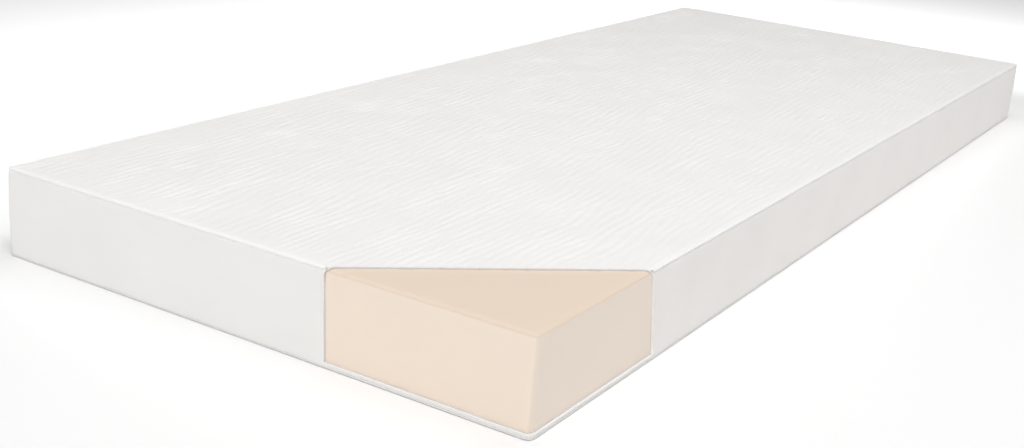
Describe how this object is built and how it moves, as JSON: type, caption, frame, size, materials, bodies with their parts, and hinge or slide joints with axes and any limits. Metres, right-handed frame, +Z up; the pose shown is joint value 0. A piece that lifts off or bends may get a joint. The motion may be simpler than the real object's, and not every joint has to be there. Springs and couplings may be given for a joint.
{
  "type": "memory foam mattress",
  "caption": "Low single mattress: a one-piece memory foam core in a piped, zipped fabric cover that is cut away at one corner to show the foam.",
  "frame": {"origin": "centre of the underside, where the mattress rests on its base", "axes": "+X across the width, towards the cut-away corner's side; +Y along the length, from the foot end to the head end; +Z up"},
  "size_m": [0.8043, 2.0009, 0.12],
  "materials": {
    "knit": "matte",
    "piping": "matte",
    "cord": "matte",
    "foam": "matte",
    "tape": "matte",
    "coil": "satin",
    "metal": "satin",
    "satin": "satin"
  },
  "bodies": {
    "mattress": {"foam_core": "foam", "top_panel": "knit", "bottom_panel": "knit", "border_foot": "knit", "border_right": "knit", "border_head": "knit", "border_left_upper": "knit", "border_left_lower": "knit", "zip_end_tab_head": "knit", "zip_end_tab_foot": "knit", "piping_cover": "piping", "piping_cord": "cord", "zip_tape_upper": "tape", "zip_tape_lower": "tape", "zip_coil_upper": "coil", "zip_coil_lower": "coil", "zip_top_stop_upper": "metal", "zip_top_stop_lower": "metal", "zip_bottom_stop": "metal"},
    "slider": {"zip_slider": "metal"},
    "pull_tab": {"zip_pull_tab": "metal"},
    "label": {"care_label": "satin"}
  },
  "joints": [
    {"name": "zip_slide", "type": "slide", "parent": "mattress", "child": "slider", "axis": [0, -1, 0], "range_m": [0, 1.875]},
    {"name": "pull_tab_hinge", "type": "hinge", "parent": "slider", "child": "pull_tab", "pos_m": [-0.40225, 0.94, 0.045], "axis": [0, 0, -1], "range_deg": [0, 180]},
    {"name": "label_flap", "type": "hinge", "parent": "mattress", "child": "label", "pos_m": [-0.27, 1.0006, 0.1151], "axis": [1, 0, 0], "range_deg": [0, 150]}
  ]
}
